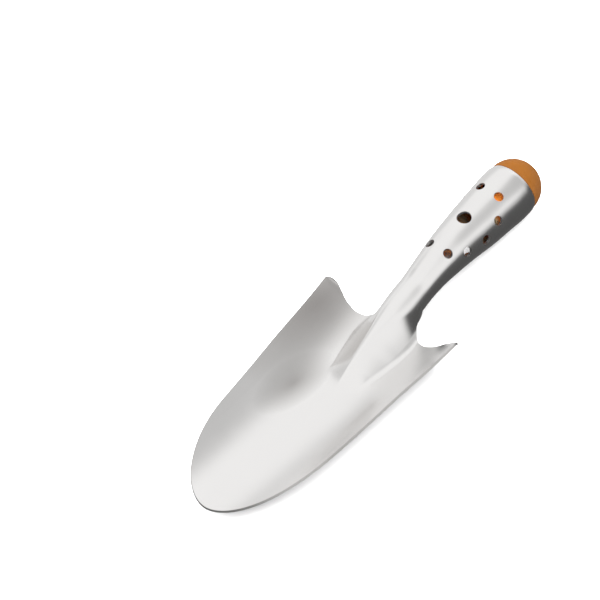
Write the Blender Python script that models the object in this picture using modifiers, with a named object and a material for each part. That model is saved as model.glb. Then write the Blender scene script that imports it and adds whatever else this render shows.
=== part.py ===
"""Hand transplanter: a one-piece pressed steel scoop, neck and perforated tube handle with an end cap.

Units are metres. +X runs along the tool from the blade's tip towards the end cap, +Z is up with the
hollow of the blade facing up, and the sheet's outline is symmetrical about the XZ plane. The tool is
drawn with its handle's rim at X = 0 and is then shifted so that the origin is the middle of its
footprint.

The steel is one sheet. Along the tool, each cross-section of it runs from the crest on the front centre
line, round one side, to the sheet's cut edge. In the handle that is half a circle whose edge meets its
twin at the back; in the neck the circle opens; in the blade it is a crested socket on a shallow scoop.
"""
import math

import bmesh
import bpy
from mathutils import Matrix, Vector

MM = 0.001

# Steel sheet
SHEET = 1.5 * MM
CLEARANCE = 0.3 * MM

# Stations along the tool, as distances from the rim of the handle
SEAM_END_X = -81.0 * MM
NOTCH_X = -108.5 * MM
FIRST_ROW_X = -115.0 * MM
NOSE_X = -205.4 * MM
TIP_X = -274.6 * MM

# Handle: station, outer radius
HANDLE_RADIUS = (
    (0.0, 15.9), (-2.5, 16.6), (-8.0, 16.7), (-20.0, 16.0), (-32.0, 15.2), (-47.0, 13.7),
    (-62.0, 12.2), (-76.0, 10.8), (-88.0, 10.2), (-93.0, 10.3), (-97.0, 10.3), (-108.0, 9.3),
    (-116.0, 7.2), (-126.0, 4.4), (-140.0, 2.8), (-160.0, 2.4),
)
# Front centre line of handle, neck and socket: station, height of the outer surface
CREST = (
    (0.0, 15.9), (-2.5, 16.6), (-8.0, 16.8), (-31.0, 16.0), (-53.0, 14.7), (-68.0, 12.5),
    (-79.0, 10.1), (-88.0, 7.8), (-97.0, 6.4), (-108.0, 4.6), (-116.0, 2.8), (-125.0, 0.4),
    (-135.0, -2.6), (-145.0, -6.1), (-153.0, -9.8), (-160.0, -14.2), (-168.0, -20.5), (-185.0, -34.0),
)
CREST_FILLET = 2.2 * MM
# How far the sheet turns from the crest down to the flank, in degrees
FLANK_TURN = (
    (SEAM_END_X / MM, 180.0), (-85.0, 161.0), (-90.0, 136.0), (-96.0, 102.0), (-102.0, 78.0),
    (-108.5, 60.0), (-116.0, 49.0), (-125.0, 42.0), (-135.0, 37.0), (-145.0, 30.0), (-153.0, 18.5),
    (-160.0, 5.0), (-170.0, 1.5),
)
# Radius of the hollow fillet at the foot of the socket
FOOT_RADIUS = ((SEAM_END_X / MM, 0.0), (-90.0, 0.5), (-96.0, 3.0), (-108.0, 7.0), (-160.0, 9.0))
# Length of sheet from the crest to its cut edge, between the end of the seam and the notch
NECK_EDGE = ((-85.0, 27.3), (-90.0, 24.9), (-96.0, 22.6), (-102.0, 21.0))

# Blade
OPEN_SCOOP_X = -165.0 * MM
NECK_FADE = 12.0 * MM
FLOOR_BLEND = 20.0 * MM
FLOOR_LOW_X = -140.0 * MM
FLOOR_LOW_Z = -14.6 * MM
TIP_RISE = 9.8 * MM
SCOOP_RADIUS = 69.0 * MM
SHOULDER_SCOOP_RADIUS = 57.0 * MM
SHOULDER_FLAT = 8.0 * MM
SHOULDER_HALF_WIDTH = 47.4 * MM
SIDE_TAPER = 0.0725
NOSE_POWER = 2.35
NOSE_ROUNDNESS = 1.83
CORNER_RADIUS = 4.2 * MM
CORNER_X = -104.9 * MM
# Top edge of each shoulder: distance from the centre line, station
SHOULDER_EDGE = (
    (16.0, -108.5), (20.0, -110.8), (25.0, -111.8), (31.0, -110.7), (37.0, -107.9), (43.0, -104.9),
)

# Points along a section before it is resampled: on each arc, and 1 mm apart over the scoop
ARC_STEPS = 48
SCOOP_STEPS = 60
# Mesh density of the sheet: columns on each side of the centre line, rows along the tool
INNER_COLUMNS = 10
OUTER_COLUMNS = 7
TUBE_ROWS = 20
NECK_ROWS = 10
BLADE_ROWS = 20
NOSE_ROWS = 9
# The tube's rows lie closer together at the rim; the first blade rows bend with the shoulder's edge
RIM_CROWDING = 0.35
BENT_ROWS = 7
INNER_WIDTH = 12.0 * MM

# Punched holes, in pairs: distance from the rim, angle to each side of the pattern's centre line
HOLE_DIAMETER = 5.4 * MM
HOLE_PAIRS = ((18.4, 24.0), (28.1, 59.5), (40.1, 77.0), (54.0, 68.5), (64.1, 33.0))
HANGING_HOLE_FROM_RIM = 41.2
HANGING_HOLE_DIAMETER = 8.2 * MM
PUNCH_DEPTH = 8.0 * MM
# The hole pattern's centre line, turned a little round the tube from the blade's centre line
PATTERN_TURN = -4.0

# End cap
CAP_RADIUS = 16.0 * MM
COLLAR_RADIUS = 14.0 * MM
COLLAR_LENGTH = 7.0 * MM
STEM_RADIUS = 10.0 * MM
STEM_LENGTH = 26.0 * MM
STEM_BORE = 7.4 * MM
CAP_CHAMFER = 1.0 * MM
DOME_WALL = 10.0 * MM
DOME_STEPS = 12
BORE_STEPS = 4
TURNED_SIDES = 40
HOLE_SIDES = 20

# Seam weld
BEAD_RADIUS = 0.6 * MM
BEAD_STEP = 5.0 * MM
RIM_TO_BEAD = 4.0 * MM
BEAD_TO_HOLE = 1.5 * MM

STEEL = (0.62, 0.60, 0.58, 1.0)
WELD = (0.48, 0.46, 0.44, 1.0)
ORANGE = (0.56, 0.17, 0.03, 1.0)


def smooth_through(points, x):
    """Value at x of a smooth curve without overshoot through (position, value) points, in millimetres."""
    rows = sorted(points)
    xs = [row[0] for row in rows]
    ys = [row[1] for row in rows]
    if x <= xs[0]:
        return ys[0]
    if x >= xs[-1]:
        return ys[-1]
    slopes = [(ys[i + 1] - ys[i]) / (xs[i + 1] - xs[i]) for i in range(len(xs) - 1)]
    tangents = [slopes[0]]
    for before, after in zip(slopes, slopes[1:]):
        tangents.append(0.0 if before * after <= 0 else 2.0 * before * after / (before + after))
    tangents.append(slopes[-1])
    i = max(k for k in range(len(xs) - 1) if xs[k] <= x)
    step = xs[i + 1] - xs[i]
    t = (x - xs[i]) / step
    value = (1 + 2 * t) * (1 - t) ** 2 * ys[i] + t * t * (3 - 2 * t) * ys[i + 1]
    return value + step * (t * (1 - t) ** 2 * tangents[i] - t * t * (1 - t) * tangents[i + 1])


def along(points, x):
    """The same curve with its position and value in metres."""
    return smooth_through(points, x / MM) * MM


def ease(t):
    """Smooth step from 0 at t = 0 to 1 at t = 1."""
    t = min(max(t, 0.0), 1.0)
    return t * t * (3 - 2 * t)


def floor_height(x):
    """Height of the scoop's floor: a shallow rocker that rises to the tip."""
    return FLOOR_LOW_Z + TIP_RISE * ((x - FLOOR_LOW_X) / (TIP_X - FLOOR_LOW_X)) ** 2


def crest_height(x):
    """Middle of the sheet on the front centre line, running out into the floor with a fillet."""
    crest = along(CREST, x) - SHEET / 2
    if x > SEAM_END_X:
        return crest
    floor = floor_height(x)
    return (crest + floor + math.hypot(crest - floor, CREST_FILLET)) / 2


def tube_height(x):
    """Height of the handle's axis."""
    return along(CREST, x) - along(HANDLE_RADIUS, x)


def scoop_rise(x, w):
    """How far the scoop has risen at distance w from the centre line."""
    to_shoulder = ease((x - OPEN_SCOOP_X) / (NOTCH_X - OPEN_SCOOP_X))
    radius = SCOOP_RADIUS + (SHOULDER_SCOOP_RADIUS - SCOOP_RADIUS) * to_shoulder
    run = min(max(w - SHOULDER_FLAT * to_shoulder, 0.0), 0.95 * radius)
    fade = 1.0 - ease((x - NOTCH_X) / NECK_FADE)
    return fade * (radius - math.sqrt(radius ** 2 - run ** 2))


def section(x):
    """Half a cross-section, from the crest outwards, as (length along the sheet, distance, height)."""
    radius = along(HANDLE_RADIUS, x) - SHEET / 2
    top = crest_height(x)
    if x >= SEAM_END_X:
        return arc_points(radius, top, math.pi, 0.0, 0.0, x)
    turn = math.radians(smooth_through(FLANK_TURN, x / MM))
    foot = along(FOOT_RADIUS, x)
    tube_floor = crest_height(SEAM_END_X) - 2 * (along(HANDLE_RADIUS, SEAM_END_X) - SHEET / 2)
    bottom = tube_floor + (floor_height(x) - tube_floor) * ease((SEAM_END_X - x) / FLOOR_BLEND)
    drop = max(top - bottom, 0.0)
    round_drop = (radius + foot) * (1 - math.cos(turn))
    if round_drop > drop:
        turn = math.acos(1 - drop / (radius + foot))
        leg = 0.0
    else:
        leg = (drop - round_drop) / math.sin(turn)
    return arc_points(radius, top, turn, leg, foot, x)


def arc_points(radius, top, turn, leg, foot, x):
    """Crest arc, straight flank, hollow foot, then the open scoop."""
    path = [(0.0, 0.0, top)]
    for k in range(1, ARC_STEPS + 1):
        a = turn * k / ARC_STEPS
        path.append((radius * a, radius * math.sin(a), top - radius * (1 - math.cos(a))))
    if x >= SEAM_END_X:
        return path
    s, w, z = path[-1]
    s += leg
    w += leg * math.cos(turn)
    z -= leg * math.sin(turn)
    path.append((s, w, z))
    for k in range(1, ARC_STEPS + 1):
        a = turn * (1 - k / ARC_STEPS)
        path.append((s + foot * (turn - a), w + foot * (math.sin(turn) - math.sin(a)),
                     z - foot * (math.cos(a) - math.cos(turn))))
    s, w, z = path[-1]
    for k in range(1, SCOOP_STEPS + 1):
        path.append((s + k * MM, w + k * MM, z))
    return [(s, w, z + scoop_rise(x, w)) for s, w, z in path]


def point_at(x, value, column=0):
    """Point of the section at x where its length (column 0) or distance (column 1) reaches value."""
    path = section(x)
    for a, b in zip(path, path[1:]):
        if b[column] >= value:
            t = (value - a[column]) / max(b[column] - a[column], 1e-12)
            return Vector((x, a[1] + (b[1] - a[1]) * t, a[2] + (b[2] - a[2]) * t))
    return Vector((x, path[-1][1], path[-1][2]))


def length_at(x, w):
    """Length of sheet from the crest to distance w."""
    path = section(x)
    for a, b in zip(path, path[1:]):
        if b[1] >= w:
            return a[0] + (b[0] - a[0]) * (w - a[1]) / max(b[1] - a[1], 1e-12)
    return path[-1][0]


def half_width(x):
    """Half the blade's width at station x, with the rounded shoulder corner and the rounded nose."""
    width = SHOULDER_HALF_WIDTH - SIDE_TAPER * (CORNER_X - x)
    centre = CORNER_X - CORNER_RADIUS
    if x > centre:
        width += math.sqrt(max(CORNER_RADIUS ** 2 - (x - centre) ** 2, 0.0)) - CORNER_RADIUS
    if x < NOSE_X:
        t = min((NOSE_X - x) / (NOSE_X - TIP_X), 1.0)
        width *= (1 - t ** NOSE_POWER) ** (1 / NOSE_ROUNDNESS)
    return width


def shoulder_edge(w):
    """Station of the shoulder's top edge at distance w, with the rounded corner."""
    centre = half_width(CORNER_X - CORNER_RADIUS) - CORNER_RADIUS
    if w < centre:
        return along(SHOULDER_EDGE, w)
    return CORNER_X - CORNER_RADIUS + math.sqrt(max(CORNER_RADIUS ** 2 - (w - centre) ** 2, 0.0))


def neck_edge_length(x):
    """Length of sheet from the crest to the cut edge, from the rim to the notch."""
    if x >= SEAM_END_X:
        radius = along(HANDLE_RADIUS, x) - SHEET / 2
        half_gap = BEAD_RADIUS + CLEARANCE
        return radius * (math.pi - half_gap / radius)
    ends = ((SEAM_END_X / MM, neck_edge_length(SEAM_END_X) / MM),
            (NOTCH_X / MM, length_at(NOTCH_X, SHOULDER_EDGE[0][0] * MM) / MM))
    return along(ends + NECK_EDGE, x)


def sheet_rows():
    """Rows of points over half the sheet, from the rim to the tip, each from the crest outwards."""
    rows = []
    for i in range(TUBE_ROWS):
        t = i / TUBE_ROWS
        x = SEAM_END_X * (t + RIM_CROWDING * t * (t - 1))
        edge = neck_edge_length(x)
        rows.append([point_at(x, edge * j / INNER_COLUMNS) for j in range(INNER_COLUMNS + 1)])
    for i in range(NECK_ROWS):
        t = i / NECK_ROWS
        middle = SEAM_END_X + (FIRST_ROW_X - SEAM_END_X) * t
        side = SEAM_END_X + (NOTCH_X - SEAM_END_X) * t
        rows.append(curved_row(middle, side, neck_edge_length(side)))
    rows += blade_rows()
    return rows


def curved_row(middle, side, edge):
    """A row that starts at station middle on the crest and ends at station side on the edge."""
    row = []
    for j in range(INNER_COLUMNS + 1):
        f = j / INNER_COLUMNS
        row.append(point_at(middle + (side - middle) * f * f, edge * f))
    return row


def blade_rows():
    """Rows over the blade, which bend with the shoulder edge at first and are straight after it."""
    notch_w = SHOULDER_EDGE[0][0] * MM
    corner = half_width(CORNER_X - CORNER_RADIUS) - CORNER_RADIUS * (1 - math.sqrt(0.5))
    rows = []
    for i in range(BLADE_ROWS):
        t = i / BLADE_ROWS
        x = FIRST_ROW_X + (NOSE_X - FIRST_ROW_X) * t
        bend = (1 - i / BENT_ROWS) ** 2 if i < BENT_ROWS else 0.0
        inner_w = notch_w + (INNER_WIDTH - notch_w) * ease(t)
        inner_x = x + bend * (NOTCH_X - FIRST_ROW_X)
        row = curved_row(x, inner_x, length_at(inner_x, inner_w))
        for k in range(1, OUTER_COLUMNS + 1):
            f = k / OUTER_COLUMNS
            px = x + bend * (shoulder_edge(notch_w + (corner - notch_w) * f) - FIRST_ROW_X)
            rim_x = x + bend * (shoulder_edge(corner) - FIRST_ROW_X)
            row.append(point_at(px, inner_w + (half_width(rim_x) - inner_w) * f, 1))
        rows.append(row)
    rows += nose_rows([p.y / row[-1].y for p in row])
    return rows


def nose_rows(fractions):
    """Rows that turn round with the nose, so that the last one lies along its edge."""
    rows = []
    for i in range(NOSE_ROWS + 1):
        u = i / NOSE_ROWS
        row = []
        for v in fractions:
            x = NOSE_X + (TIP_X - NOSE_X) * u * math.sqrt(1 - v * v / 2)
            across = v * math.sqrt(1 - u * u / 2)
            limit = math.sqrt(max(1 - u * u * (1 - v * v / 2), 0.0))
            w = half_width(x) * across / limit if limit > 1e-9 else 0.0
            row.append(point_at(x, w, 1))
        rows.append(row)
    return rows


def new_object(name, mesh, material, collection):
    obj = bpy.data.objects.new(name, mesh)
    if material:
        mesh.materials.append(material)
    collection.objects.link(obj)
    return obj


def principled(name, colour, roughness, metallic):
    material = bpy.data.materials.new(name)
    material.use_nodes = True
    shader = material.node_tree.nodes["Principled BSDF"]
    shader.inputs["Base Color"].default_value = colour
    shader.inputs["Roughness"].default_value = roughness
    shader.inputs["Metallic"].default_value = metallic
    return material


def steel_sheet(parts, cutters):
    """The pressing: the lofted sheet, thickened, with its holes punched."""
    mesh = bpy.data.meshes.new("blade_and_handle")
    bm = bmesh.new()
    previous = None
    for row in sheet_rows():
        right = [bm.verts.new((p.x, -p.y, p.z)) for p in row]
        left = [right[0]] + [bm.verts.new(p) for p in row[1:]]
        if previous:
            for half, flip in ((0, False), (1, True)):
                before = previous[half]
                now = (right, left)[half]
                for j in range(len(before) - 1):
                    quad = [before[j], before[j + 1], now[j + 1], now[j]]
                    bm.faces.new(quad[::-1] if flip else quad)
        previous = (right, left)
    bmesh.ops.recalc_face_normals(bm, faces=bm.faces)
    bm.to_mesh(mesh)
    bm.free()
    steel = principled("stainless_steel", STEEL, 0.28, 1.0)
    sheet = new_object("blade_and_handle", mesh, steel, parts)
    mesh.shade_smooth()
    solid = sheet.modifiers.new("sheet_thickness", "SOLIDIFY")
    solid.thickness = SHEET
    solid.offset = 0.0
    solid.use_even_offset = True
    punch = sheet.modifiers.new("holes", "BOOLEAN")
    punch.operation = "DIFFERENCE"
    punch.operand_type = "COLLECTION"
    punch.collection = cutters
    return sheet


def hole_cutter(name, from_rim, angle, diameter, cutters):
    """A cylinder square to the tube's wall, angle degrees round from the front centre line."""
    x = -from_rim * MM
    radius = along(HANDLE_RADIUS, x)
    bm = bmesh.new()
    bmesh.ops.create_cone(bm, cap_ends=True, segments=HOLE_SIDES, radius1=diameter / 2,
                          radius2=diameter / 2, depth=PUNCH_DEPTH)
    centre = Vector((0, 0, radius - SHEET / 2))
    turn = Matrix.Rotation(-math.radians(PATTERN_TURN + angle), 4, "X")
    place = Matrix.Translation((x, 0, tube_height(x))) @ turn @ Matrix.Translation(centre)
    bm.transform(place)
    mesh = bpy.data.meshes.new(name)
    bm.to_mesh(mesh)
    bm.free()
    cutter = new_object(name, mesh, None, cutters)
    cutter.hide_render = True
    cutter.display_type = "WIRE"


def punch_cutters(cutters):
    for number, (from_rim, angle) in enumerate(HOLE_PAIRS):
        for side, sign in (("left", 1), ("right", -1)):
            hole_cutter(f"punch_{number}_{side}", from_rim, sign * angle, HOLE_DIAMETER, cutters)
    for side, angle in (("front", 0.0), ("back", 180.0)):
        hole_cutter(f"hanging_punch_{side}", HANGING_HOLE_FROM_RIM, angle, HANGING_HOLE_DIAMETER, cutters)


def seam_bead(name, start, end, material, parts):
    """A length of weld bead between the sheet's two edges, along the back of the tube."""
    count = max(3, round(abs(end - start) / BEAD_STEP))
    curve = bpy.data.curves.new(name, "CURVE")
    curve.dimensions = "3D"
    curve.bevel_depth = BEAD_RADIUS
    curve.bevel_resolution = 2
    curve.use_fill_caps = True
    spline = curve.splines.new("POLY")
    spline.points.add(count)
    for k, point in enumerate(spline.points):
        x = start + (end - start) * k / count
        back = tube_height(x) - along(HANDLE_RADIUS, x) + SHEET / 2
        point.co = (x, 0.0, back, 1.0)
    return new_object(name, curve, material, parts)


def quarter_turn(radius, rise, base, steps):
    """Points (radius, height) of a quarter ellipse from the axis, at base + rise, out to its rim at base."""
    angles = [math.pi / 2 * (1 - k / steps) for k in range(steps + 1)]
    return [(radius * math.cos(a), base + rise * math.sin(a)) for a in angles]


def end_cap(parts):
    """The turned cap: a dome on a flat shoulder, a collar that fits the rim, and a hollow stem."""
    shoulder = CLEARANCE
    bore_top = CAP_RADIUS - DOME_WALL
    profile = quarter_turn(CAP_RADIUS, CAP_RADIUS, shoulder, DOME_STEPS)
    profile += [(COLLAR_RADIUS, shoulder), (COLLAR_RADIUS, CAP_CHAMFER - COLLAR_LENGTH)]
    profile += [(COLLAR_RADIUS - CAP_CHAMFER, -COLLAR_LENGTH), (STEM_RADIUS, -COLLAR_LENGTH)]
    profile += [(STEM_RADIUS, CAP_CHAMFER - STEM_LENGTH), (STEM_RADIUS - CAP_CHAMFER, -STEM_LENGTH)]
    profile += [(STEM_BORE, -STEM_LENGTH)]
    profile += quarter_turn(STEM_BORE, bore_top, shoulder, BORE_STEPS)[::-1]
    mesh = bpy.data.meshes.new("end_cap")
    bm = bmesh.new()
    verts = [bm.verts.new((max(r, 0.0), 0.0, x)) for r, x in profile]
    for a, b in zip(verts, verts[1:]):
        bm.edges.new((a, b))
    bm.to_mesh(mesh)
    bm.free()
    cap = new_object("end_cap", mesh, principled("orange_cap", ORANGE, 0.55, 0.0), parts)
    cap.rotation_euler = (0.0, math.pi / 2, 0.0)
    screw = cap.modifiers.new("turn", "SCREW")
    screw.steps = TURNED_SIDES
    screw.render_steps = TURNED_SIDES
    screw.use_merge_vertices = True
    screw.merge_threshold = 0.00001
    mesh.shade_smooth()
    return cap


def shift_to_footprint(measured, moved):
    """Move the objects so that the origin is the middle of the measured objects' footprint."""
    bpy.context.view_layer.update()
    depsgraph = bpy.context.evaluated_depsgraph_get()
    corners = []
    for obj in measured:
        evaluated = obj.evaluated_get(depsgraph)
        corners += [evaluated.matrix_world @ Vector(corner) for corner in evaluated.bound_box]
    low = [min(corner[axis] for corner in corners) for axis in range(3)]
    high = [max(corner[axis] for corner in corners) for axis in range(3)]
    shift = Vector((-(low[0] + high[0]) / 2, -(low[1] + high[1]) / 2, -low[2]))
    for obj in moved:
        obj.location += shift


def main():
    for obj in list(bpy.data.objects):
        bpy.data.objects.remove(obj, do_unlink=True)
    parts = bpy.data.collections.new("hand_transplanter")
    cutters = bpy.data.collections.new("cutters")
    for collection in (parts, cutters):
        bpy.context.scene.collection.children.link(collection)
    punch_cutters(cutters)
    sheet = steel_sheet(parts, cutters)
    weld = principled("seam_weld", WELD, 0.4, 1.0)
    clear = HANGING_HOLE_DIAMETER / 2 + BEAD_TO_HOLE
    hanging_x = -HANGING_HOLE_FROM_RIM * MM
    seam_bead("seam_weld_rim", -RIM_TO_BEAD, hanging_x + clear, weld, parts)
    seam_bead("seam_weld_neck", hanging_x - clear, SEAM_END_X + BEAD_TO_HOLE, weld, parts)
    cap = end_cap(parts)
    shift_to_footprint((sheet, cap), list(parts.objects) + list(cutters.objects))


main()
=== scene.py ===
"""Looks of the hand transplanter: the fine pressed sheet, its weld, the cap's surface, light and camera.

The tool is drawn with its handle's rim at X = 0 and its axis through the rim at Z = 0, as its solids
are, and is then placed where the frame has the end cap.
"""
import math

import bmesh
import bpy
from mathutils import Matrix, Vector
from mathutils.geometry import delaunay_2d_cdt


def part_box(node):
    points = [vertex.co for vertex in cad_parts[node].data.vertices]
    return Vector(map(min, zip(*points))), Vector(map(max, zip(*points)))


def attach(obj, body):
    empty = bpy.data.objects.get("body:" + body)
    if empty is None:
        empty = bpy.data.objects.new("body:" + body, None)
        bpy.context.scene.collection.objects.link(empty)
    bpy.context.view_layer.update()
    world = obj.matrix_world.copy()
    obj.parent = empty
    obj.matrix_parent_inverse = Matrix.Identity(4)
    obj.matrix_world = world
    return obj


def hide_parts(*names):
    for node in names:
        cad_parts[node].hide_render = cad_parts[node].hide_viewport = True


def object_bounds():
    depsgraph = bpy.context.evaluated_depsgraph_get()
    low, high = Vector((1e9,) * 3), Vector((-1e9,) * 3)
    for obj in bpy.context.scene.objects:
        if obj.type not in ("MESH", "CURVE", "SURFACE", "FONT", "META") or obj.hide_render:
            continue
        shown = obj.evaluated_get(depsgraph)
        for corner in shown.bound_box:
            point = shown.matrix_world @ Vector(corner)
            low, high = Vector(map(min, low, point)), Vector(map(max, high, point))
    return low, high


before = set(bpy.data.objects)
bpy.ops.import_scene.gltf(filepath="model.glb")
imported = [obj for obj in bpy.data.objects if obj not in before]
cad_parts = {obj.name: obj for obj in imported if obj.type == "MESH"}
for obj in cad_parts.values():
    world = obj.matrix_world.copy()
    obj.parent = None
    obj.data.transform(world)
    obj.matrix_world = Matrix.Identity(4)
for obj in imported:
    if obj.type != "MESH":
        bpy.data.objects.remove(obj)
cad_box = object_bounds()

MM = 0.001

# Steel sheet
SHEET = 1.5 * MM

# Stations along the tool, as distances from the rim of the handle
SEAM_END_X = -81.0 * MM
NOTCH_X = -108.5 * MM
FIRST_ROW_X = -115.0 * MM
NOSE_X = -205.4 * MM
TIP_X = -274.6 * MM

# Handle: station, outer radius
HANDLE_RADIUS = (
    (0.0, 15.9), (-2.5, 16.6), (-8.0, 16.7), (-20.0, 16.0), (-32.0, 15.2), (-47.0, 13.7),
    (-62.0, 12.2), (-76.0, 10.8), (-88.0, 10.2), (-93.0, 10.3), (-97.0, 10.3), (-108.0, 9.3),
    (-116.0, 7.2), (-126.0, 4.4), (-140.0, 2.8), (-160.0, 2.4),
)
# Front centre line of handle, neck and socket: station, height of the outer surface
CREST = (
    (0.0, 15.9), (-2.5, 16.6), (-8.0, 16.8), (-31.0, 16.0), (-53.0, 14.7), (-68.0, 12.5),
    (-79.0, 10.1), (-88.0, 7.8), (-97.0, 6.4), (-108.0, 4.6), (-116.0, 2.8), (-125.0, 0.4),
    (-135.0, -2.6), (-145.0, -6.1), (-153.0, -9.8), (-160.0, -14.2), (-168.0, -20.5), (-185.0, -34.0),
)
CREST_FILLET = 2.2 * MM
# How far the sheet turns from the crest down to the flank, in degrees
FLANK_TURN = (
    (SEAM_END_X / MM, 180.0), (-85.0, 161.0), (-90.0, 136.0), (-96.0, 102.0), (-102.0, 78.0),
    (-108.5, 60.0), (-116.0, 49.0), (-125.0, 42.0), (-135.0, 37.0), (-145.0, 30.0), (-153.0, 18.5),
    (-160.0, 5.0), (-170.0, 1.5),
)
# Radius of the hollow fillet at the foot of the socket
FOOT_RADIUS = ((SEAM_END_X / MM, 0.0), (-90.0, 0.5), (-96.0, 3.0), (-108.0, 7.0), (-160.0, 9.0))
# Length of sheet from the crest to its cut edge, between the end of the seam and the notch
NECK_EDGE = ((-85.0, 27.3), (-90.0, 24.9), (-96.0, 22.6), (-102.0, 21.0))

# Blade
OPEN_SCOOP_X = -165.0 * MM
NECK_FADE = 12.0 * MM
FLOOR_BLEND = 20.0 * MM
FLOOR_LOW_X = -140.0 * MM
FLOOR_LOW_Z = -14.6 * MM
TIP_RISE = 9.8 * MM
SCOOP_RADIUS = 69.0 * MM
SHOULDER_SCOOP_RADIUS = 57.0 * MM
SHOULDER_FLAT = 8.0 * MM
# Share of the scoop's radius at which its cross-section stops rising
SCOOP_REACH = 0.95
SHOULDER_HALF_WIDTH = 47.4 * MM
SIDE_TAPER = 0.0725
NOSE_POWER = 2.35
NOSE_ROUNDNESS = 1.83
CORNER_RADIUS = 4.2 * MM
CORNER_X = -104.9 * MM
# Top edge of each shoulder: distance from the centre line, station
SHOULDER_EDGE = (
    (16.0, -108.5), (20.0, -110.8), (25.0, -111.8), (31.0, -110.7), (37.0, -107.9), (43.0, -104.9),
)

# Points along a section before it is resampled: on each arc, and 1 mm apart over the scoop
ARC_STEPS = 40
SCOOP_STEPS = 60
# Rounding of the cut edges, and the bend in degrees above which an edge is cut
EDGE_ROUNDING = 0.35 * MM
CUT_BEND = 50
MERGE_DISTANCE = 0.001 * MM
# Mesh density: columns on each side of the centre line, rows along the tool
INNER_COLUMNS = 36
OUTER_COLUMNS = 26
TUBE_ROWS = 70
NECK_ROWS = 34
BLADE_ROWS = 70
NOSE_ROWS = 30
BENT_ROWS = 24
INNER_WIDTH = 12.0 * MM

# Punched holes, in pairs: distance from the rim, angle to each side of the pattern's centre line
HOLE_RADIUS = 2.7 * MM
HOLE_PAIRS = ((18.4, 24.0), (28.1, 59.5), (40.1, 77.0), (54.0, 68.5), (64.1, 33.0))
HANGING_HOLE_FROM_RIM = 41.2
HANGING_HOLE_RADIUS = 4.1 * MM
PATTERN_TURN = -4.0
HOLE_SIDES = 48
HOLE_RINGS = (0.45 * MM, 1.1 * MM)
HOLE_MARGIN = 1.5 * MM

# Seam at the back of the tube
SEAM_HALF_GAP = 0.9 * MM
BEAD_HALF_WIDTH = 1.2 * MM
BEAD_HALF_HEIGHT = 0.75 * MM
BEAD_SINK = 0.1 * MM
WELD_STEP = 0.25 * MM
WELD_PITCH = 1.6 * MM
WELD_RIPPLE = 0.05
WELD_SIDES = 16
# How narrow the bead gets at its very ends, as a share of its width squared
BEAD_END = 0.0004

# End cap
CAP_RADIUS = 16.0 * MM
COLLAR_RADIUS = 14.0 * MM
COLLAR_LENGTH = 7.0 * MM
STEM_RADIUS = 10.0 * MM
STEM_LENGTH = 26.0 * MM
STEM_BORE = 7.4 * MM
DOME_WALL = 10.0 * MM
CAP_EDGE = 0.5 * MM
CLEARANCE = 0.3 * MM
CAP_SIDES = 128
DOME_STEPS = 48
BORE_STEPS = 12

# View: the tool's roll about its own axis, its tilt towards the lens, its slant in the frame
VIEW_ROLL = math.radians(34.0)
VIEW_TILT = math.asin(0.454)
VIEW_SLANT = math.radians(45.73)
VIEW_WIDTH = 333.4 * MM
# From the middle of the rim to the middle of the frame, to the left and down
VIEW_LEFT = 118.1 * MM
VIEW_DOWN = 62.5 * MM
VIEW_DISTANCE = 1500 * MM

# Steel: colour, range of roughness, then the painted dark reflection beside the foot of the socket and the
# painted shade on the left wing, each as a colour and a place from the middle of the rim, half size and turn
STEEL_COLOUR = (0.84, 0.835, 0.83, 1.0)
STEEL_ROUGHNESS = (0.20, 0.26)
# painted dark reflection beside the foot of the socket, laid into the steel's colour
PAINTED_REFLECTION_COLOUR = (0.44, 0.43, 0.42, 1.0)
PAINTED_REFLECTION_SPOT = (Vector((-0.172, 0.0205, -0.014)), (0.030, 0.013, 0.05), math.radians(-6.0))
# painted shade darkening the left wing, laid into the steel's colour
LEFT_WING_SHADE_COLOUR = (0.50, 0.48, 0.465, 1.0)
LEFT_WING_SHADE = (Vector((-0.124, 0.041, 0.0)), (0.070, 0.030, 0.05), math.radians(-4.0))
# the cut edges are darker than the steel: partly duller sheared steel, partly a painted dark reflection
# along the edges
CUT_COLOUR = (0.62, 0.61, 0.60, 1.0)
CUT_ROUGHNESS = (0.3, 0.5)
WELD_COLOUR = (0.62, 0.60, 0.58, 1.0)
WELD_ROUGHNESS = (0.3, 0.55)

# Plastic: colour of the dome, the stem's colour brightened with painted light, how uneven they are, and the
# painted shade over the stem's end, with how far from the rim it starts and is full
DOME_COLOUR = (0.13, 0.045, 0.005)
# the stem's colour is far brighter than the dome's: painted light where it shows through the holes
PAINTED_LIGHT_STEM_COLOUR = (0.88, 0.27, 0.04)
UNEVENNESS = 0.07
PLASTIC_ROUGHNESS = (0.5, 0.6)
PLASTIC_GLOSS = 0.12
# painted shade darkening the stem deeper inside the grip
GRIP_SHADE_COLOUR = (0.42, 0.33, 0.20, 1.0)
GRIP_SHADE_START = 22.5 * MM
GRIP_SHADE_FULL = 26.5 * MM

# The part of a noise's range that its values mostly keep to
NOISE_LOW = 0.3
NOISE_HIGH = 0.7

# Studio: light above and below the horizon, and the heights between which one passes into the other
ROOM_LIGHT = 1.0
GROUND_LIGHT = 0.15
HORIZON = (-0.12, 0.08)
ROOM_COLOUR = (1.0, 0.995, 0.99, 1.0)
# Panels, each laid over the ones before it: azimuth and elevation, angles from the middle to where the
# panel starts and ends fading, all in degrees, then its brightness
PANELS = (
    (52.0, -12.0, 22.0, 38.0, 0.78),
    (98.0, 28.0, 6.0, 26.0, 0.70),
    (325.0, 42.0, 12.0, 34.0, 0.60),
    (12.0, 36.0, 4.0, 14.0, 1.06),
    (315.0, -35.0, 24.0, 62.0, 0.09),
)
OVERHEAD_ENERGY = 10.0
OVERHEAD_ANGLE = math.radians(120.0)
FLOOR_SIZE = 4.0
FLOOR_COLOUR = (0.92, 0.92, 0.92, 1.0)
FLOOR_ROUGHNESS = 0.9


# ---------------------------------------------------------------- shape of the sheet

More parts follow.
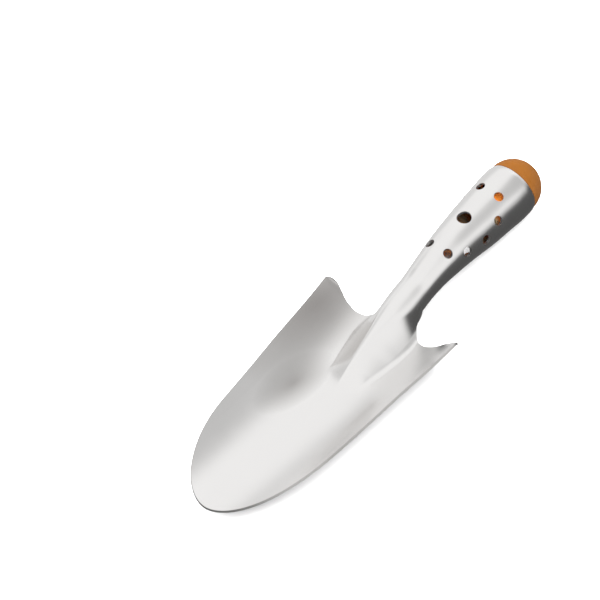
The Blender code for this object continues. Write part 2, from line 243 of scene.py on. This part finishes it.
def smooth_through(points, x):
    """Value at x of a smooth curve without overshoot through (position, value) points, in millimetres."""
    rows = sorted(points)
    xs = [row[0] for row in rows]
    ys = [row[1] for row in rows]
    if x <= xs[0]:
        return ys[0]
    if x >= xs[-1]:
        return ys[-1]
    slopes = [(ys[i + 1] - ys[i]) / (xs[i + 1] - xs[i]) for i in range(len(xs) - 1)]
    tangents = [slopes[0]]
    for before, after in zip(slopes, slopes[1:]):
        tangents.append(0.0 if before * after <= 0 else 2.0 * before * after / (before + after))
    tangents.append(slopes[-1])
    i = max(k for k in range(len(xs) - 1) if xs[k] <= x)
    step = xs[i + 1] - xs[i]
    t = (x - xs[i]) / step
    value = (1 + 2 * t) * (1 - t) ** 2 * ys[i] + t * t * (3 - 2 * t) * ys[i + 1]
    return value + step * (t * (1 - t) ** 2 * tangents[i] - t * t * (1 - t) * tangents[i + 1])


def along(points, x):
    """The same curve with its position and value in metres."""
    return smooth_through(points, x / MM) * MM


def ease(t):
    """Smooth step from 0 at t = 0 to 1 at t = 1."""
    t = min(max(t, 0.0), 1.0)
    return t * t * (3 - 2 * t)


def floor_height(x):
    """Height of the scoop's floor: a shallow rocker that rises to the tip."""
    return FLOOR_LOW_Z + TIP_RISE * ((x - FLOOR_LOW_X) / (TIP_X - FLOOR_LOW_X)) ** 2


def crest_height(x):
    """Middle of the sheet on the front centre line, running out into the floor with a fillet."""
    crest = along(CREST, x) - SHEET / 2
    if x > SEAM_END_X:
        return crest
    floor = floor_height(x)
    return (crest + floor + math.hypot(crest - floor, CREST_FILLET)) / 2


def tube_height(x):
    """Height of the handle's axis."""
    return along(CREST, x) - along(HANDLE_RADIUS, x)


def scoop_rise(x, w):
    """How far the scoop has risen at distance w from the centre line."""
    to_shoulder = ease((x - OPEN_SCOOP_X) / (NOTCH_X - OPEN_SCOOP_X))
    radius = SCOOP_RADIUS + (SHOULDER_SCOOP_RADIUS - SCOOP_RADIUS) * to_shoulder
    run = min(max(w - SHOULDER_FLAT * to_shoulder, 0.0), SCOOP_REACH * radius)
    fade = 1.0 - ease((x - NOTCH_X) / NECK_FADE)
    return fade * (radius - math.sqrt(radius ** 2 - run ** 2))


def section(x):
    """Half a cross-section, from the crest outwards, as (length along the sheet, distance, height)."""
    radius = along(HANDLE_RADIUS, x) - SHEET / 2
    top = crest_height(x)
    if x >= SEAM_END_X:
        return arc_points(radius, top, math.pi, 0.0, 0.0, x)
    turn = math.radians(smooth_through(FLANK_TURN, x / MM))
    foot = along(FOOT_RADIUS, x)
    tube_floor = crest_height(SEAM_END_X) - 2 * (along(HANDLE_RADIUS, SEAM_END_X) - SHEET / 2)
    bottom = tube_floor + (floor_height(x) - tube_floor) * ease((SEAM_END_X - x) / FLOOR_BLEND)
    drop = max(top - bottom, 0.0)
    round_drop = (radius + foot) * (1 - math.cos(turn))
    if round_drop > drop:
        turn = math.acos(1 - drop / (radius + foot))
        leg = 0.0
    else:
        leg = (drop - round_drop) / math.sin(turn)
    return arc_points(radius, top, turn, leg, foot, x)


def arc_points(radius, top, turn, leg, foot, x):
    """Crest arc, straight flank, hollow foot, then the open scoop."""
    path = [(0.0, 0.0, top)]
    for k in range(1, ARC_STEPS + 1):
        a = turn * k / ARC_STEPS
        path.append((radius * a, radius * math.sin(a), top - radius * (1 - math.cos(a))))
    if x >= SEAM_END_X:
        return path
    s, w, z = path[-1]
    s += leg
    w += leg * math.cos(turn)
    z -= leg * math.sin(turn)
    path.append((s, w, z))
    for k in range(1, ARC_STEPS + 1):
        a = turn * (1 - k / ARC_STEPS)
        path.append((s + foot * (turn - a), w + foot * (math.sin(turn) - math.sin(a)),
                     z - foot * (math.cos(a) - math.cos(turn))))
    s, w, z = path[-1]
    for k in range(1, SCOOP_STEPS + 1):
        path.append((s + k * MM, w + k * MM, z))
    return [(s, w, z + scoop_rise(x, w)) for s, w, z in path]


def point_at(x, value, column=0):
    """Point of the section at x where its length (column 0) or distance (column 1) reaches value."""
    path = section(x)
    for a, b in zip(path, path[1:]):
        if b[column] >= value:
            t = (value - a[column]) / max(b[column] - a[column], 1e-12)
            return Vector((x, a[1] + (b[1] - a[1]) * t, a[2] + (b[2] - a[2]) * t))
    return Vector((x, path[-1][1], path[-1][2]))


def length_at(x, w):
    """Length of sheet from the crest to distance w."""
    path = section(x)
    for a, b in zip(path, path[1:]):
        if b[1] >= w:
            return a[0] + (b[0] - a[0]) * (w - a[1]) / max(b[1] - a[1], 1e-12)
    return path[-1][0]


def half_width(x):
    """Half the blade's width at station x, with the rounded shoulder corner and the rounded nose."""
    width = SHOULDER_HALF_WIDTH - SIDE_TAPER * (CORNER_X - x)
    centre = CORNER_X - CORNER_RADIUS
    if x > centre:
        width += math.sqrt(max(CORNER_RADIUS ** 2 - (x - centre) ** 2, 0.0)) - CORNER_RADIUS
    if x < NOSE_X:
        t = min((NOSE_X - x) / (NOSE_X - TIP_X), 1.0)
        width *= (1 - t ** NOSE_POWER) ** (1 / NOSE_ROUNDNESS)
    return width


def shoulder_edge(w):
    """Station of the shoulder's top edge at distance w, with the rounded corner."""
    centre = half_width(CORNER_X - CORNER_RADIUS) - CORNER_RADIUS
    if w < centre:
        return along(SHOULDER_EDGE, w)
    return CORNER_X - CORNER_RADIUS + math.sqrt(max(CORNER_RADIUS ** 2 - (w - centre) ** 2, 0.0))


def tube_edge_length(x):
    """Length of sheet from the crest to the seam's gap."""
    radius = along(HANDLE_RADIUS, x) - SHEET / 2
    return math.pi * radius - SEAM_HALF_GAP


def neck_edge_length(x):
    """Length of sheet from the crest to the cut edge, from the seam's end to the notch."""
    ends = ((SEAM_END_X / MM, tube_edge_length(SEAM_END_X) / MM),
            (NOTCH_X / MM, length_at(NOTCH_X, SHOULDER_EDGE[0][0] * MM) / MM))
    return along(ends + NECK_EDGE, x)


def curved_row(middle, side, edge):
    """A row that starts at station middle on the crest and ends at station side on the edge."""
    row = []
    for j in range(INNER_COLUMNS + 1):
        f = j / INNER_COLUMNS
        row.append(point_at(middle + (side - middle) * f * f, edge * f))
    return row


def neck_rows():
    """Rows from the end of the seam, where the sheet starts to open, down to the notch."""
    rows = []
    for i in range(NECK_ROWS):
        t = i / NECK_ROWS
        middle = SEAM_END_X + (FIRST_ROW_X - SEAM_END_X) * t
        side = SEAM_END_X + (NOTCH_X - SEAM_END_X) * t
        rows.append(curved_row(middle, side, neck_edge_length(side)))
    return rows


def blade_rows():
    """Rows over the blade, which bend with the shoulder edge at first and are straight after it."""
    notch_w = SHOULDER_EDGE[0][0] * MM
    corner = half_width(CORNER_X - CORNER_RADIUS) - CORNER_RADIUS * (1 - math.sqrt(0.5))
    rows = []
    for i in range(BLADE_ROWS):
        t = i / BLADE_ROWS
        x = FIRST_ROW_X + (NOSE_X - FIRST_ROW_X) * t
        bend = (1 - i / BENT_ROWS) ** 2 if i < BENT_ROWS else 0.0
        inner_w = notch_w + (INNER_WIDTH - notch_w) * ease(t)
        inner_x = x + bend * (NOTCH_X - FIRST_ROW_X)
        row = curved_row(x, inner_x, length_at(inner_x, inner_w))
        rim_x = x + bend * (shoulder_edge(corner) - FIRST_ROW_X)
        for k in range(1, OUTER_COLUMNS + 1):
            f = k / OUTER_COLUMNS
            px = x + bend * (shoulder_edge(notch_w + (corner - notch_w) * f) - FIRST_ROW_X)
            row.append(point_at(px, inner_w + (half_width(rim_x) - inner_w) * f, 1))
        rows.append(row)
    rows += nose_rows([p.y / row[-1].y for p in row])
    return rows


def nose_rows(fractions):
    """Rows that turn round with the nose, so that the last one lies along its edge."""
    rows = []
    for i in range(NOSE_ROWS + 1):
        u = i / NOSE_ROWS
        row = []
        for v in fractions:
            x = NOSE_X + (TIP_X - NOSE_X) * u * math.sqrt(1 - v * v / 2)
            across = v * math.sqrt(1 - u * u / 2)
            limit = math.sqrt(max(1 - u * u * (1 - v * v / 2), 0.0))
            w = half_width(x) * across / limit if limit > 1e-9 else 0.0
            row.append(point_at(x, w, 1))
        rows.append(row)
    return rows


def add_loft(bm, rows):
    """Quads between the rows, on both sides of the centre line."""
    previous = None
    for row in rows:
        right = [bm.verts.new((p.x, -p.y, p.z)) for p in row]
        left = [right[0]] + [bm.verts.new(p) for p in row[1:]]
        if previous:
            for half in (0, 1):
                before = previous[half]
                now = (right, left)[half]
                for j in range(len(before) - 1):
                    bm.faces.new((before[j], before[j + 1], now[j + 1], now[j]))
        previous = (right, left)


# ---------------------------------------------------------------- perforated tube

def punched_holes():
    """Every hole in the tube as (station, angle round from the front, radius)."""
    holes = []
    for from_rim, angle in HOLE_PAIRS:
        for side in (1, -1):
            holes.append((-from_rim * MM, math.radians(PATTERN_TURN + side * angle), HOLE_RADIUS))
    for angle in (PATTERN_TURN, PATTERN_TURN + 180, PATTERN_TURN - 180):
        holes.append((-HANGING_HOLE_FROM_RIM * MM, math.radians(angle), HANGING_HOLE_RADIUS))
    return holes


def seam_angle(x):
    """Angle from the front at which the sheet's cut edge lies."""
    return tube_edge_length(x) / (along(HANDLE_RADIUS, x) - SHEET / 2)


def ring(hole, grow):
    """Points (station, angle) on the tube round a hole, grown by a distance."""
    x0, angle0, radius = hole
    tube = along(HANDLE_RADIUS, x0) - SHEET / 2
    points = []
    for k in range(HOLE_SIDES):
        a = 2 * math.pi * k / HOLE_SIDES
        across = (radius + grow) * math.sin(a)
        points.append((x0 + (radius + grow) * math.cos(a), angle0 + math.asin(across / tube)))
    return points


def clear_of(holes, x, angle, grow):
    """Whether a point of the tube lies outside every hole grown by a distance."""
    for x0, angle0, radius in holes:
        tube = along(HANDLE_RADIUS, x0) - SHEET / 2
        turn = abs(angle - angle0)
        if turn < math.pi / 2 and math.hypot(x - x0, tube * math.sin(turn)) < radius + grow:
            return False
    return True


def add_tube(bm):
    """The rolled tube as triangles, with a ring of points round every hole and none inside."""
    flat = along(HANDLE_RADIUS, SEAM_END_X / 2)
    holes = punched_holes()
    points = []
    columns = range(-INNER_COLUMNS, INNER_COLUMNS + 1)
    for i in range(TUBE_ROWS + 1):
        x = SEAM_END_X * i / TUBE_ROWS
        for j in columns:
            angle = seam_angle(x) * j / INNER_COLUMNS
            if clear_of(holes, x, angle, HOLE_MARGIN):
                points.append((x, angle))
    for hole in holes:
        for grow in (0.0,) + HOLE_RINGS:
            points += [p for p in ring(hole, grow) if abs(p[1]) < seam_angle(p[0])]
    points += seam_points(holes)
    flat_points = [Vector((x, angle / seam_angle(x) * math.pi * flat)) for x, angle in points]
    _, _, faces, *_ = delaunay_2d_cdt(flat_points, [], [], 0, 1e-7)
    verts = []
    for x, angle in points:
        p = point_at(x, abs(angle) * (along(HANDLE_RADIUS, x) - SHEET / 2))
        verts.append(bm.verts.new((p.x, math.copysign(p.y, angle), p.z)))
    for face in faces:
        x = sum(points[k][0] for k in face) / 3
        angle = sum(points[k][1] for k in face) / 3
        if clear_of(holes, x, angle, 0.0):
            bm.faces.new([verts[k] for k in face])
    bmesh.ops.delete(bm, geom=[v for v in verts if not v.link_faces], context="VERTS")


def seam_points(holes):
    """Points on the seam's two edges where the rings round the back hole cross them."""
    points = []
    for x0, angle0, radius in holes:
        if abs(angle0) < math.pi / 2:
            continue
        tube = along(HANDLE_RADIUS, x0) - SHEET / 2
        side = math.copysign(1, angle0)
        across = tube * math.sin(seam_angle(x0) - abs(angle0))
        for grow in (0.0,) + HOLE_RINGS:
            reach = (radius + grow) ** 2 - across ** 2
            if reach > 0 and abs(across) < radius:
                for end in (-1, 1):
                    x = x0 + end * math.sqrt(reach)
                    points.append((x, side * seam_angle(x)))
    return points


# ---------------------------------------------------------------- objects

def new_object(name, mesh, materials, node):
    """A shown piece in place of a node of the frame."""
    for material in materials:
        mesh.materials.append(material)
    obj = bpy.data.objects.new(name, mesh)
    bpy.context.scene.collection.objects.link(obj)
    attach(obj, "root")
    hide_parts(node)
    return obj


def rim_place():
    """Where the frame has the middle of the handle's rim."""
    low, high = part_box("end_cap")
    return Vector((high.x - CAP_RADIUS - CLEARANCE, (low.y + high.y) / 2, (low.z + high.z) / 2))


def fine_sheet(steel, cut_edge):
    """The pressing, thickened from its middle surface, with rounded cut edges."""
    mesh = bpy.data.meshes.new("pressed_sheet")
    bm = bmesh.new()
    add_tube(bm)
    add_loft(bm, neck_rows() + blade_rows())
    bmesh.ops.remove_doubles(bm, verts=bm.verts, dist=MERGE_DISTANCE)
    bmesh.ops.recalc_face_normals(bm, faces=bm.faces)
    bmesh.ops.translate(bm, verts=bm.verts, vec=rim_place())
    bm.to_mesh(mesh)
    bm.free()
    mesh.shade_smooth()
    sheet = new_object("pressed_sheet", mesh, (steel, cut_edge), "blade_and_handle")
    solid = sheet.modifiers.new("sheet_thickness", "SOLIDIFY")
    solid.thickness = SHEET
    solid.offset = 0.0
    solid.use_even_offset = True
    solid.material_offset_rim = 1
    edges = sheet.modifiers.new("edge_rounding", "BEVEL")
    edges.width = EDGE_ROUNDING
    edges.segments = 2
    edges.limit_method = "ANGLE"
    edges.angle_limit = math.radians(CUT_BEND)
    edges.harden_normals = True
    edges.material = 0


# ---------------------------------------------------------------- materials

def new_material(name):
    """A material with its nodes, its links and its main shader."""
    material = bpy.data.materials.new(name)
    material.use_nodes = True
    nodes = material.node_tree.nodes
    return material, nodes, material.node_tree.links, nodes["Principled BSDF"]


def noise(nodes, links, coordinates, scale, stretch=(1, 1, 1), detail=3.0):
    """A noise texture over the object, stretched along its axes."""
    mapping = nodes.new("ShaderNodeMapping")
    mapping.inputs["Scale"].default_value = stretch
    links.new(coordinates, mapping.inputs["Vector"])
    texture = nodes.new("ShaderNodeTexNoise")
    texture.inputs["Scale"].default_value = scale
    texture.inputs["Detail"].default_value = detail
    links.new(mapping.outputs["Vector"], texture.inputs["Vector"])
    return texture.outputs["Fac"]


def spread(nodes, links, value, low, high):
    """The middle of a noise's range mapped on to low..high."""
    node = nodes.new("ShaderNodeMapRange")
    node.inputs["From Min"].default_value = NOISE_LOW
    node.inputs["From Max"].default_value = NOISE_HIGH
    node.inputs["To Min"].default_value = low
    node.inputs["To Max"].default_value = high
    links.new(value, node.inputs["Value"])
    return node.outputs["Result"]


def bump(nodes, links, height, strength, distance, under=None):
    """A bump of the given height, on top of another one."""
    node = nodes.new("ShaderNodeBump")
    node.inputs["Strength"].default_value = strength
    node.inputs["Distance"].default_value = distance
    links.new(height, node.inputs["Height"])
    if under:
        links.new(under, node.inputs["Normal"])
    return node.outputs["Normal"]


def direction_dot(nodes, links, direction, towards):
    """How far a vector reaches along a fixed direction."""
    dot = nodes.new("ShaderNodeVectorMath")
    dot.operation = "DOT_PRODUCT"
    links.new(direction, dot.inputs[0])
    dot.inputs[1].default_value = Vector(towards).normalized()
    return dot.outputs["Value"]


def smooth_range(nodes, links, value, start, end, low, high):
    """The value from start to end mapped on to low to high, easing in and out."""
    node = nodes.new("ShaderNodeMapRange")
    node.interpolation_type = "SMOOTHSTEP"
    for name, number in (("From Min", start), ("From Max", end), ("To Min", low), ("To Max", high)):
        node.inputs[name].default_value = number
    links.new(value, node.inputs["Value"])
    return node.outputs["Result"]


def laid_over(nodes, links, under, colour, weight):
    """A colour laid over another one with a weight."""
    tint = nodes.new("ShaderNodeMix")
    tint.data_type = "RGBA"
    tint.inputs["B"].default_value = colour
    links.new(weight, tint.inputs["Factor"])
    links.new(under, tint.inputs["A"])
    return tint.outputs["Result"]


def brightened(nodes, links, value, weight, brightness):
    """The light with a panel of the given brightness laid over it."""
    mix = nodes.new("ShaderNodeMix")
    mix.inputs["B"].default_value = brightness
    links.new(weight, mix.inputs["Factor"])
    links.new(value, mix.inputs["A"])
    return mix.outputs["Result"]


def painted_light_patch(nodes, links, coordinates, under, colour, spot):
    """A colour laid over another at a place on the piece, fading out over the half sizes."""
    place, size, turn = spot
    mapping = nodes.new("ShaderNodeMapping")
    mapping.vector_type = "TEXTURE"
    mapping.inputs["Location"].default_value = rim_place() + place
    mapping.inputs["Rotation"].default_value = (0.0, 0.0, turn)
    mapping.inputs["Scale"].default_value = size
    links.new(coordinates, mapping.inputs["Vector"])
    sphere = nodes.new("ShaderNodeTexGradient")
    sphere.gradient_type = "SPHERICAL"
    links.new(mapping.outputs["Vector"], sphere.inputs["Vector"])
    return laid_over(nodes, links, under, colour, sphere.outputs["Fac"])


def satin_steel():
    """Brushed and tumbled steel: fine grain along the tool, faint waves, and a painted dark reflection and
    painted shade on the blade.
    """
    material, nodes, links, shader = new_material("satin_stainless_steel")
    shader.inputs["Metallic"].default_value = 1.0
    coordinates = nodes.new("ShaderNodeTexCoord").outputs["Object"]
    clean = nodes.new("ShaderNodeRGB").outputs["Color"]
    clean.default_value = STEEL_COLOUR
    # painted shade on the left wing
    with_wing_shade = painted_light_patch(nodes, links, coordinates, clean, LEFT_WING_SHADE_COLOUR, LEFT_WING_SHADE)
    # painted dark reflection beside the socket's foot
    with_painted_reflection = painted_light_patch(nodes, links, coordinates, with_wing_shade, PAINTED_REFLECTION_COLOUR, PAINTED_REFLECTION_SPOT)
    links.new(with_painted_reflection, shader.inputs["Base Color"])
    clouds = noise(nodes, links, coordinates, 60.0)
    links.new(spread(nodes, links, clouds, *STEEL_ROUGHNESS), shader.inputs["Roughness"])
    waves = noise(nodes, links, coordinates, 45.0, detail=1.0)
    soft = bump(nodes, links, waves, 0.35, 0.0003)
    grain = noise(nodes, links, coordinates, 2500.0, (0.15, 1.0, 1.0), detail=2.0)
    fine = bump(nodes, links, grain, 0.04, 0.00005, soft)
    links.new(fine, shader.inputs["Normal"])
    return material


def marked_metal(name, colour, mark_scale, roughness):
    """Metal with fine tool marks in its gloss."""
    material, nodes, links, shader = new_material(name)
    shader.inputs["Metallic"].default_value = 1.0
    shader.inputs["Base Color"].default_value = colour
    coordinates = nodes.new("ShaderNodeTexCoord").outputs["Object"]
    marks = noise(nodes, links, coordinates, mark_scale)
    links.new(spread(nodes, links, marks, *roughness), shader.inputs["Roughness"])
    return material


def shaded_deeper_in(nodes, links, coordinates, clean):
    """The cap's colour with painted shade laid over it deeper inside the grip."""
    along_tool = direction_dot(nodes, links, coordinates, (1, 0, 0))
    rim = rim_place().x
    weight = smooth_range(nodes, links, along_tool, rim - GRIP_SHADE_FULL, rim - GRIP_SHADE_START, 1.0, 0.0)
    return laid_over(nodes, links, clean, GRIP_SHADE_COLOUR, weight)


def orange_plastic(name, colour):
    """Matt moulded plastic, a little uneven in colour and gloss."""
    material, nodes, links, shader = new_material(name)
    coordinates = nodes.new("ShaderNodeTexCoord").outputs["Object"]
    clouds = noise(nodes, links, coordinates, 120.0)
    tone = nodes.new("ShaderNodeMix")
    tone.data_type = "RGBA"
    tone.inputs["A"].default_value = [c * (1 - UNEVENNESS) for c in colour] + [1.0]
    tone.inputs["B"].default_value = [c * (1 + UNEVENNESS) for c in colour] + [1.0]
    links.new(spread(nodes, links, clouds, 0.0, 1.0), tone.inputs["Factor"])
    # painted shade over the stem deeper inside the grip
    with_grip_shade = shaded_deeper_in(nodes, links, coordinates, tone.outputs["Result"])
    links.new(with_grip_shade, shader.inputs["Base Color"])
    links.new(spread(nodes, links, clouds, *PLASTIC_ROUGHNESS), shader.inputs["Roughness"])
    shader.inputs["Specular IOR Level"].default_value = PLASTIC_GLOSS
    skin = noise(nodes, links, coordinates, 1500.0, detail=1.0)
    links.new(bump(nodes, links, skin, 0.1, 0.00005), shader.inputs["Normal"])
    return material


# ---------------------------------------------------------------- cap and weld

def quarter_turn(radius, rise, base, steps):
    """Points (radius, height) of a quarter ellipse from the axis, at base + rise, out to its rim at base."""
    angles = [math.pi / 2 * (1 - k / steps) for k in range(steps + 1)]
    return [(radius * math.cos(a), base + rise * math.sin(a)) for a in angles]


def rounded(profile, radius, steps=4):
    """The profile with each inner corner point replaced by a short curve."""
    points = [profile[0]]
    for before, corner, after in zip(profile, profile[1:], profile[2:]):
        a, b, c = Vector(before), Vector(corner), Vector(after)
        reach = min(radius, (a - b).length / 2, (c - b).length / 2)
        start = b + (a - b).normalized() * reach
        end = b + (c - b).normalized() * reach
        for k in range(steps + 1):
            t = k / steps
            points.append(start * (1 - t) ** 2 + b * 2 * t * (1 - t) + end * t ** 2)
    return points + [profile[-1]]


def cap_piece(outer_plastic, inner_plastic):
    """The moulded cap: a dome on a flat shoulder, a collar inside the rim, and a hollow stem."""
    dome = quarter_turn(CAP_RADIUS, CAP_RADIUS, CLEARANCE, DOME_STEPS)
    body = [dome[-2], dome[-1], (COLLAR_RADIUS, CLEARANCE), (COLLAR_RADIUS, -COLLAR_LENGTH)]
    body += [(STEM_RADIUS, -COLLAR_LENGTH), (STEM_RADIUS, -STEM_LENGTH), (STEM_BORE, -STEM_LENGTH)]
    body += [(STEM_BORE, 2 * CLEARANCE)]
    bore = quarter_turn(STEM_BORE, CAP_RADIUS - DOME_WALL, CLEARANCE, BORE_STEPS)[::-1]
    profile = dome[:-1] + rounded(body, CAP_EDGE)[1:] + bore
    mesh = bpy.data.meshes.new("orange_cap")
    bm = bmesh.new()
    verts = [bm.verts.new((x, 0.0, max(r, 0.0))) for r, x in profile]
    for a, b in zip(verts, verts[1:]):
        bm.edges.new((a, b))
    bmesh.ops.translate(bm, verts=bm.verts, vec=rim_place())
    bmesh.ops.spin(bm, geom=bm.verts[:] + bm.edges[:], axis=(1, 0, 0), cent=rim_place(),
                   angle=2 * math.pi, steps=CAP_SIDES, use_merge=True)
    bmesh.ops.remove_doubles(bm, verts=bm.verts, dist=MERGE_DISTANCE)
    bmesh.ops.recalc_face_normals(bm, faces=bm.faces)
    bm.to_mesh(mesh)
    bm.free()
    mesh.shade_smooth()
    cap = new_object("orange_cap", mesh, (outer_plastic, inner_plastic), "end_cap")
    outside = rim_place().x - COLLAR_LENGTH / 2
    for face in mesh.polygons:
        face.material_index = int(face.center.x < outside)


def weld_piece(name, node, weld):
    """A ground length of weld that fills the seam, with the ripples of its passes."""
    low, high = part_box(node)
    place = rim_place()
    start, end = low.x - place.x, high.x - place.x
    count = round((end - start) / WELD_STEP)
    bm = bmesh.new()
    loops = []
    for i in range(count + 1):
        x = start + (end - start) * i / count
        back = tube_height(x) - along(HANDLE_RADIUS, x) + SHEET / 2
        to_end = min(x - start, end - x) / BEAD_HALF_WIDTH
        close = math.sqrt(min(max(to_end, BEAD_END), 1.0))
        ripple = 1 + WELD_RIPPLE * math.sin(2 * math.pi * x / WELD_PITCH)
        loop = []
        for k in range(WELD_SIDES):
            a = 2 * math.pi * k / WELD_SIDES
            y = BEAD_HALF_WIDTH * close * math.cos(a) * ripple
            z = BEAD_HALF_HEIGHT * close * math.sin(a) * ripple
            loop.append(bm.verts.new(place + Vector((x, y, back + BEAD_SINK + z))))
        loops.append(loop)
    for before, now in zip(loops, loops[1:]):
        for k in range(WELD_SIDES):
            n = (k + 1) % WELD_SIDES
            bm.faces.new((before[k], before[n], now[n], now[k]))
    bm.faces.new(loops[0])
    bm.faces.new(loops[-1][::-1])
    bmesh.ops.recalc_face_normals(bm, faces=bm.faces)
    mesh = bpy.data.meshes.new(name)
    bm.to_mesh(mesh)
    bm.free()
    mesh.shade_smooth()
    new_object(name, mesh, (weld,), node)


# ---------------------------------------------------------------- stage

def studio_world():
    """A white studio with soft grey and dark panels round the tool."""
    world = bpy.data.worlds.new("studio")
    bpy.context.scene.world = world
    world.use_nodes = True
    nodes = world.node_tree.nodes
    links = world.node_tree.links
    direction = nodes.new("ShaderNodeTexCoord").outputs["Generated"]
    height = direction_dot(nodes, links, direction, (0, 0, 1))
    light = smooth_range(nodes, links, height, *HORIZON, GROUND_LIGHT, ROOM_LIGHT)
    for azimuth, elevation, inner, outer, brightness in PANELS:
        a, e = math.radians(azimuth), math.radians(elevation)
        towards = (math.cos(e) * math.cos(a), math.cos(e) * math.sin(a), math.sin(e))
        facing = direction_dot(nodes, links, direction, towards)
        edges = math.cos(math.radians(outer)), math.cos(math.radians(inner))
        weight = smooth_range(nodes, links, facing, *edges, 0.0, 1.0)
        light = brightened(nodes, links, light, weight, brightness)
    links.new(light, nodes["Background"].inputs["Strength"])
    nodes["Background"].inputs["Color"].default_value = ROOM_COLOUR


def overhead_light():
    """A very soft light from above, which the steel doesn't mirror."""
    light = bpy.data.lights.new("overhead", "SUN")
    light.energy = OVERHEAD_ENERGY
    light.angle = OVERHEAD_ANGLE
    lamp = bpy.data.objects.new("overhead", light)
    lamp.visible_glossy = False
    bpy.context.scene.collection.objects.link(lamp)


def photo_camera():
    """A flat, long-lens view with the tool rolled, tilted and slanted across the frame."""
    across = Vector((0.0, -math.cos(VIEW_ROLL), -math.sin(VIEW_ROLL)))
    to_tip = Vector((-math.cos(VIEW_TILT), math.sin(VIEW_ROLL) * math.sin(VIEW_TILT),
                     -math.cos(VIEW_ROLL) * math.sin(VIEW_TILT)))
    right = across * math.sin(VIEW_SLANT) - to_tip * math.cos(VIEW_SLANT)
    up = -across * math.cos(VIEW_SLANT) - to_tip * math.sin(VIEW_SLANT)
    back = right.cross(up)
    turn = Matrix((right, up, back)).transposed()
    data = bpy.data.cameras.new("camera")
    data.type = "ORTHO"
    data.ortho_scale = VIEW_WIDTH
    camera = bpy.data.objects.new("camera", data)
    place = rim_place() - right * VIEW_LEFT - up * VIEW_DOWN + back * VIEW_DISTANCE
    camera.matrix_world = Matrix.Translation(place) @ turn.to_4x4()
    bpy.context.scene.collection.objects.link(camera)
    bpy.context.scene.camera = camera


def pale_floor():
    """A pale floor under the tool, which the steel doesn't mirror."""
    material, nodes, links, shader = new_material("pale_floor")
    shader.inputs["Base Color"].default_value = FLOOR_COLOUR
    shader.inputs["Roughness"].default_value = FLOOR_ROUGHNESS
    low = cad_box[0]
    mesh = bpy.data.meshes.new("floor")
    bm = bmesh.new()
    bmesh.ops.create_grid(bm, x_segments=1, y_segments=1, size=FLOOR_SIZE)
    bm.to_mesh(mesh)
    bm.free()
    mesh.materials.append(material)
    plane = bpy.data.objects.new("floor", mesh)
    plane.location = (0.0, 0.0, low.z)
    plane.visible_glossy = False
    bpy.context.scene.collection.objects.link(plane)


def main():
    # cut edges: duller sheared steel with a painted dark reflection
    cut_edge = marked_metal("sheared_edge_painted_reflection", CUT_COLOUR, 900.0, CUT_ROUGHNESS)
    fine_sheet(satin_steel(), cut_edge)
    weld = marked_metal("ground_weld", WELD_COLOUR, 700.0, WELD_ROUGHNESS)
    weld_piece("weld_at_rim", "seam_weld_rim", weld)
    weld_piece("weld_at_neck", "seam_weld_neck", weld)
    # the stem's plastic carries painted light
    cap_piece(orange_plastic("dome_orange_plastic", DOME_COLOUR),
              orange_plastic("stem_orange_plastic_painted_lit", PAINTED_LIGHT_STEM_COLOUR))
    photo_camera()
    pale_floor()
    studio_world()
    overhead_light()
    bpy.context.scene.view_settings.view_transform = "Standard"


main()
